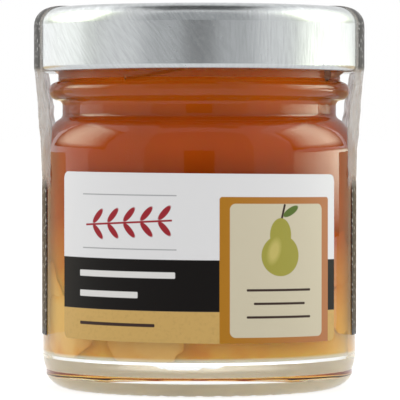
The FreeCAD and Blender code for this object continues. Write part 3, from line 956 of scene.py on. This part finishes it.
def on_circle(azimuth, distance, height):
    """A place round the jar: azimuth 0 is in front, 90 at its right, in degrees."""
    turn = math.radians(azimuth)
    return (distance * math.sin(turn), -distance * math.cos(turn), height)


def white_seen(graph, straight=1.0, glossy=1.0, through=1.0):
    """Shares for rays that show a surface to the eye: straight, in a reflection or through glass."""
    path = graph.node("ShaderNodeLightPath").outputs
    seen = graph.math("MULTIPLY", path["Is Camera Ray"], straight)
    for ray, share_seen in (("Is Glossy Ray", glossy), ("Is Transmission Ray", through)):
        seen = graph.math("MAXIMUM", seen, graph.math("MULTIPLY", path[ray], share_seen))
    return graph.math("MULTIPLY", seen, graph.math("LESS_THAN", path["Diffuse Depth"], 0.5))


class JAR_OT_stage(bpy.types.Operator):
    """Set the floor, the soft lamps, the surroundings and the camera"""

    bl_idname = "fruit_jar.stage"
    bl_label = "Stage"

    def execute(self, context):
        settings = context.scene.jar_stage
        context.scene.view_settings.view_transform = "Standard"
        self.add_floor(settings)
        self.add_world(context, settings)
        self.add_lamps(context, settings)
        self.add_cards()
        self.add_camera(context)
        return {"FINISHED"}

    def add_floor(self, settings):
        corners = [(x * FLOOR_REACH, y * FLOOR_REACH, 0) for x, y in ((-1, -1), (1, -1), (1, 1), (-1, 1))]
        floor = add_mesh("floor", corners, [(0, 1, 2, 3)])
        material, graph, output = new_material("pale_floor")
        seen = white_seen(graph, straight=0.45, glossy=0.25, through=0.80)
        grain = graph.group(fine_grain(), size=2.0, amount=0.02)["Value"]
        tone = graph.paint((0, 0, 0), grain, settings.floor)
        plain = graph.node("ShaderNodeBsdfDiffuse", {"Color": tone})
        lift = graph.node("ShaderNodeEmission", {"Color": (1, 1, 1), "Strength": seen})
        both = graph.node("ShaderNodeAddShader", {0: plain.outputs[0], 1: lift.outputs[0]})
        graph.feed(output.inputs["Surface"], both.outputs[0])
        give(floor, material)

    def add_world(self, context, settings):
        world = bpy.data.worlds.new("white_room")
        world.use_nodes = True
        world.node_tree.nodes.clear()
        context.scene.world = world
        graph = Graph(world.node_tree)
        seen = white_seen(graph)
        light = graph.node("ShaderNodeBackground", {"Color": (1, 1, 1), "Strength": settings.daylight})
        white = graph.node("ShaderNodeBackground", {"Color": (1, 1, 1), "Strength": 1.0})
        mixed = graph.node("ShaderNodeMixShader", {0: seen, 1: light.outputs[0], 2: white.outputs[0]})
        graph.feed(graph.node("ShaderNodeOutputWorld").inputs["Surface"], mixed.outputs[0])

    def add_lamps(self, context, settings):
        for name, azimuth, width in (("left_softbox", -114, 0.78), ("right_softbox", 104, 0.86)):
            lamp = bpy.data.lights.new(name, "AREA")
            lamp.shape = "RECTANGLE"
            lamp.size = width
            lamp.size_y = LAMP_TALL
            lamp.energy = settings.softbox * math.pi * width * LAMP_TALL
            obj = bpy.data.objects.new(name, lamp)
            context.scene.collection.objects.link(obj)
            aim(obj, on_circle(azimuth, LAMP_DISTANCE, LAMP_HEIGHT), (0, 0, 0.03))
            obj.visible_camera = False
            obj.visible_transmission = False

    def add_cards(self):
        for name, (azimuth, distance, raised, lean, half, low, high, strength, tint) in CARDS.items():
            corners = [(-half, 0, low), (half, 0, low), (half, 0, high), (-half, 0, high)]
            card = add_mesh(name, [Vector(corner) / MM for corner in corners], [(0, 1, 2, 3)])
            card.location = on_circle(azimuth, distance, raised)
            card.rotation_euler = (math.radians(lean), 0, math.radians(azimuth))
            material, graph, output = new_material(name)
            if name in GLOW_FADES:
                strength = self.faded(graph, strength, half, low, high, *GLOW_FADES[name])
            glow = graph.node("ShaderNodeEmission", {"Color": tint, "Strength": strength})
            graph.feed(output.inputs["Surface"], glow.outputs[0])
            give(card, material)
            card.visible_camera = False
            card.visible_diffuse = False
            card.visible_transmission = False
            card.visible_shadow = False

    def faded(self, graph, strength, half, low, high, lost, rise):
        """A glow's strength, which falls off towards its sides and its upper and lower edges."""
        place = graph.node("ShaderNodeTexCoord").outputs["Object"]
        place = graph.node("ShaderNodeSeparateXYZ", {"Vector": place}).outputs
        across = graph.math("ABSOLUTE", place["X"])
        tall = high - low
        for share_left in (
            graph.span(across, 0.25 * half, half, 1.0, 1.0 - lost),
            graph.span(place["Z"], low, low + rise * tall),
            graph.span(place["Z"], high, high - GLOW_FALL * tall),
        ):
            strength = graph.math("MULTIPLY", share_left, strength)
        return strength

    def add_camera(self, context):
        camera = bpy.data.cameras.new("camera")
        camera.lens = CAMERA_LENS
        camera.sensor_width = 36
        camera.clip_start = 0.01
        obj = bpy.data.objects.new("camera", camera)
        context.scene.collection.objects.link(obj)
        aim(obj, CAMERA_PLACE, CAMERA_TARGET)
        context.scene.camera = obj


# ---------------------------------------------------------------------------------------------
# Panel and registration
# ---------------------------------------------------------------------------------------------
OPERATORS = (JAR_OT_glass, JAR_OT_filling, JAR_OT_lid, JAR_OT_label, JAR_OT_film, JAR_OT_stage)


class JAR_PT_sidebar(bpy.types.Panel):
    """Lists the jar's pieces with their settings"""

    bl_idname = "JAR_PT_sidebar"
    bl_label = "Fruit Mustard Jar"
    bl_space_type = "VIEW_3D"
    bl_region_type = "UI"
    bl_category = "Fruit Jar"

    def draw(self, context):
        for operator, name in zip(OPERATORS, SETTINGS):
            box = self.layout.box()
            box.operator(operator.bl_idname)
            settings = getattr(context.scene, name)
            for key in settings.__annotations__:
                box.prop(settings, key)


def register():
    for name, group in SETTINGS.items():
        bpy.utils.register_class(group)
        setattr(bpy.types.Scene, name, PointerProperty(type=group))
    for operator in OPERATORS:
        bpy.utils.register_class(operator)
    bpy.utils.register_class(JAR_PT_sidebar)


def unregister():
    bpy.utils.unregister_class(JAR_PT_sidebar)
    for operator in reversed(OPERATORS):
        bpy.utils.unregister_class(operator)
    for name, group in SETTINGS.items():
        delattr(bpy.types.Scene, name)
        bpy.utils.unregister_class(group)


def main():
    register()
    bpy.ops.fruit_jar.glass()
    bpy.ops.fruit_jar.filling()
    bpy.ops.fruit_jar.lid()
    bpy.ops.fruit_jar.label()
    bpy.ops.fruit_jar.film()
    bpy.ops.fruit_jar.stage()


if __name__ == "__main__":
    main()
